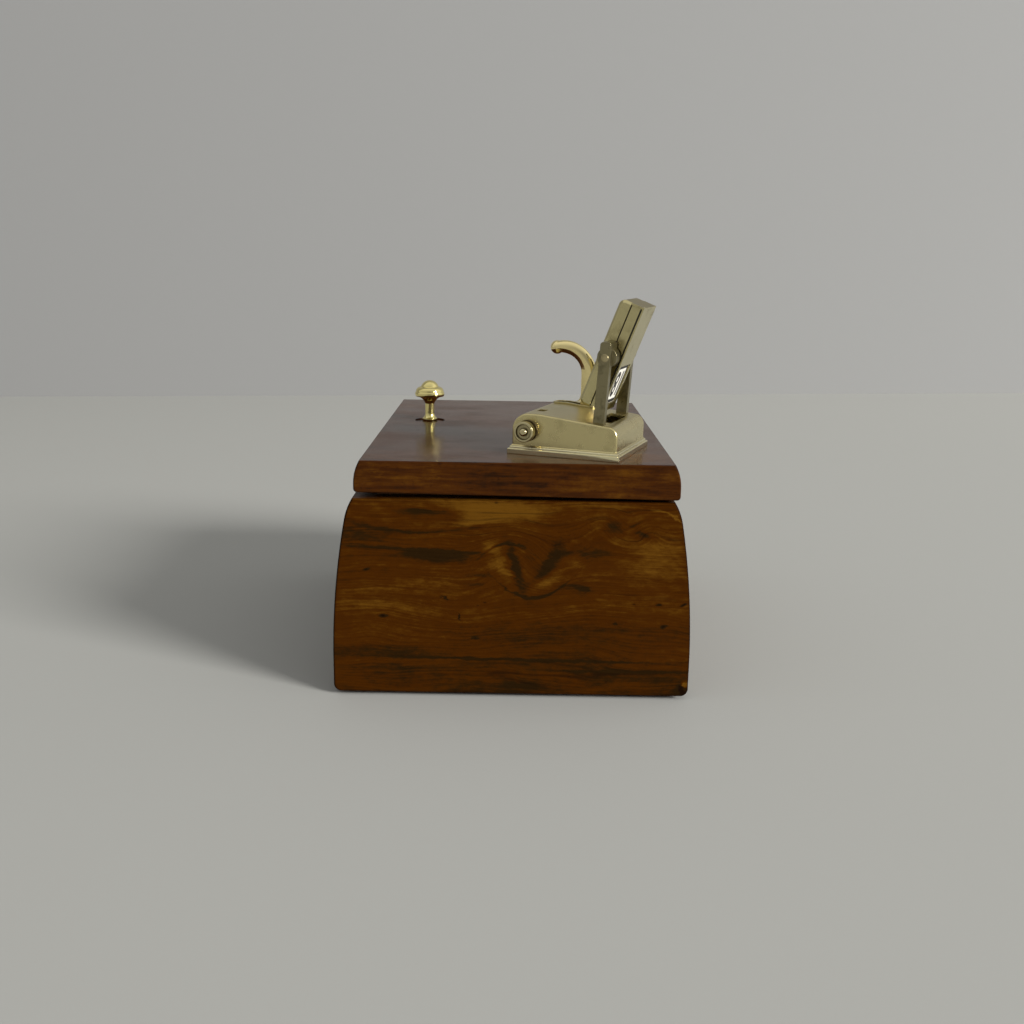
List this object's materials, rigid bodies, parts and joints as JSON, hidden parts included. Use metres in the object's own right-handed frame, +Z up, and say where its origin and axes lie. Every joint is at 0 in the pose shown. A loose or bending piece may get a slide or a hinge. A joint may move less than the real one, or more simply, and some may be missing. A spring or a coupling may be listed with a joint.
{
  "type": "calendar box",
  "caption": "Wooden box with bowed sides and a hinged lid that carries a turned brass knob and a brass flip calendar with a month drum and a horn-shaped lever.",
  "frame": {"origin": "middle of the felt base, on the surface that the box stands on", "axes": "+Z up; +Y along the box, away from its end that is nearest the calendar; -X towards the front, where the lid knob is; the hinges are on the +X side"},
  "size_m": [0.14, 0.17, 0.1548],
  "materials": {
    "body_wood": "glossy lacquer",
    "lid_wood": "glossy lacquer",
    "bottom_wood": "bare",
    "liner_wood": "satin",
    "felt": "felt",
    "hinge_brass": "satin",
    "fastener_brass": "satin",
    "steel": "satin",
    "knob_brass": "polished",
    "polished_brass": "polished",
    "post_brass": "aged satin",
    "casing_brass": "satin",
    "bush_brass": "satin",
    "card": "matt printed",
    "drum_brass": "satin",
    "lever_brass": "polished"
  },
  "bodies": {
    "box": {"right_end_panel": "body_wood", "left_end_panel": "body_wood", "front_wall": "body_wood", "rear_wall": "body_wood", "bottom_board": "bottom_wood", "front_liner": "liner_wood", "rear_liner": "liner_wood", "right_liner": "liner_wood", "left_liner": "liner_wood", "bottom_felt": "felt", "base_felt": "felt", "hinge_box_leaves": "hinge_brass", "hinge_box_screws": "fastener_brass", "hinge_pins": "steel"},
    "lid": {"lid_board": "lid_wood", "lid_knob": "knob_brass", "lid_knob_washer": "fastener_brass", "lid_knob_screw": "steel", "hinge_lid_leaves": "hinge_brass", "hinge_lid_screws": "fastener_brass", "calendar_plinth": "polished_brass", "plinth_screws": "fastener_brass", "calendar_housing": "polished_brass", "housing_screws": "fastener_brass", "near_post": "post_brass", "far_post": "post_brass", "near_pivot_screw": "fastener_brass", "far_pivot_screw": "fastener_brass", "post_screws": "fastener_brass", "drum_bushes": "bush_brass", "lever_escutcheon": "polished_brass", "lever_bracket": "polished_brass", "lever_pin": "steel", "lever_spring": "steel"},
    "flip_casing": {"casing_front_shell": "casing_brass", "casing_core": "casing_brass", "casing_back_plate": "casing_brass", "front_date_card": "card", "back_date_card": "card", "spare_date_cards": "card", "casing_bushes": "bush_brass"},
    "month_drum": {"month_drum": "drum_brass", "month_band": "card", "drum_shaft": "steel", "ratchet_wheel": "steel", "setting_knob": "drum_brass", "setting_knob_nut": "drum_brass"},
    "horn_lever": {"horn_lever": "lever_brass"}
  },
  "joints": [
    {"name": "lid_hinge", "type": "hinge", "parent": "box", "child": "lid", "pos_m": [0.063, 0, 0.08035], "axis": [0, 1, 0], "range_deg": [0, 95]},
    {"name": "casing_flip", "type": "hinge", "parent": "lid", "child": "flip_casing", "pos_m": [0.03955, -0.05865, 0.1333], "axis": [0.359, 0.9333, 0], "continuous": true},
    {"name": "month_drum_turn", "type": "hinge", "parent": "lid", "child": "month_drum", "pos_m": [0.01165, -0.04931, 0.104], "axis": [0.359, 0.9333, 0], "continuous": true},
    {"name": "horn_lever_press", "type": "hinge", "parent": "lid", "child": "horn_lever", "pos_m": [0.02938, -0.03802, 0.1035], "axis": [-0.359, -0.9333, 0], "range_deg": [0, 16], "stiffness_Nm_per_rad": 0.03, "springref_deg": -11.46, "deforming": ["lever_spring"]}
  ]
}
